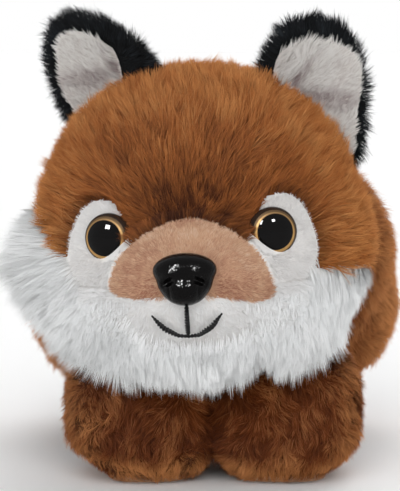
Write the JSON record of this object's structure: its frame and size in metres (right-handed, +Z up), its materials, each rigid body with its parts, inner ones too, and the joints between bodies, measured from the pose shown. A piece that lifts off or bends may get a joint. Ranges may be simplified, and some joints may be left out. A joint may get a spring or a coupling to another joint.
{
  "type": "plush fox",
  "caption": "Standing plush fox with a round head, long white ruff, black-backed cupped ears, domed safety eyes, moulded nose, stubby legs and a bushy tail.",
  "frame": {"origin": "on the floor, under the middle of the whole toy", "axes": "+Z up, -Y the way that the fox looks, +X the fox's own left"},
  "size_m": [0.1562, 0.3106, 0.181],
  "materials": {
    "brown_plush": "long pile plush",
    "body_plush": "plush pile",
    "long_white_plush": "long pile plush",
    "short_white_plush": "short pile plush",
    "tan_plush": "short pile plush",
    "black_plush": "long pile plush",
    "ear_lining": "short pile plush",
    "stuffing": "loose fibre",
    "black_plastic": "moulded, glossy",
    "gold_ring": "metallised gold",
    "washer_plastic": "moulded, natural white",
    "black_thread": "twisted thread"
  },
  "bodies": {
    "toy": {"eye_left": "black_plastic", "eye_ring_left": "gold_ring", "eye_washer_left": "washer_plastic", "eye_right": "black_plastic", "eye_ring_right": "gold_ring", "eye_washer_right": "washer_plastic", "nose": "black_plastic", "nose_washer": "washer_plastic", "muzzle_top": "tan_plush", "eye_patch_left": "short_white_plush", "eye_patch_right": "short_white_plush", "chin_panel": "short_white_plush", "cheek_ruff_left": "long_white_plush", "cheek_ruff_right": "long_white_plush", "head_crown": "brown_plush", "head_filling": "stuffing", "mouth_smile": "black_thread", "mouth_line": "black_thread", "body_skin": "body_plush", "body_filling": "stuffing", "front_leg_left": "body_plush", "sole_front_left": "tan_plush", "front_leg_right": "body_plush", "sole_front_right": "tan_plush", "hind_leg_left": "body_plush", "sole_hind_left": "tan_plush", "hind_leg_right": "body_plush", "sole_hind_right": "tan_plush"},
    "ear_left": {"ear_outer_left": "black_plush", "ear_inner_left": "ear_lining"},
    "ear_right": {"ear_outer_right": "black_plush", "ear_inner_right": "ear_lining"},
    "tail": {"tail": "body_plush", "tail_tip": "long_white_plush"}
  },
  "joints": [
    {"name": "ear_left_fold", "type": "hinge", "parent": "toy", "child": "ear_left", "pos_m": [0.03407, -0.06547, 0.14072], "axis": [0.7971, 0.1156, -0.5927], "range_deg": [-20, 20], "stiffness_Nm_per_rad": 0.03},
    {"name": "ear_right_fold", "type": "hinge", "parent": "toy", "child": "ear_right", "pos_m": [-0.03729, -0.0601, 0.14825], "axis": [0.6825, -0.5362, 0.4966], "range_deg": [-20, 20], "stiffness_Nm_per_rad": 0.03},
    {"name": "tail_lift", "type": "hinge", "parent": "toy", "child": "tail", "pos_m": [0, 0.07533, 0.07409], "axis": [1, 0, 0], "range_deg": [-15, 35], "stiffness_Nm_per_rad": 0.15, "springref_deg": 2.86}
  ]
}
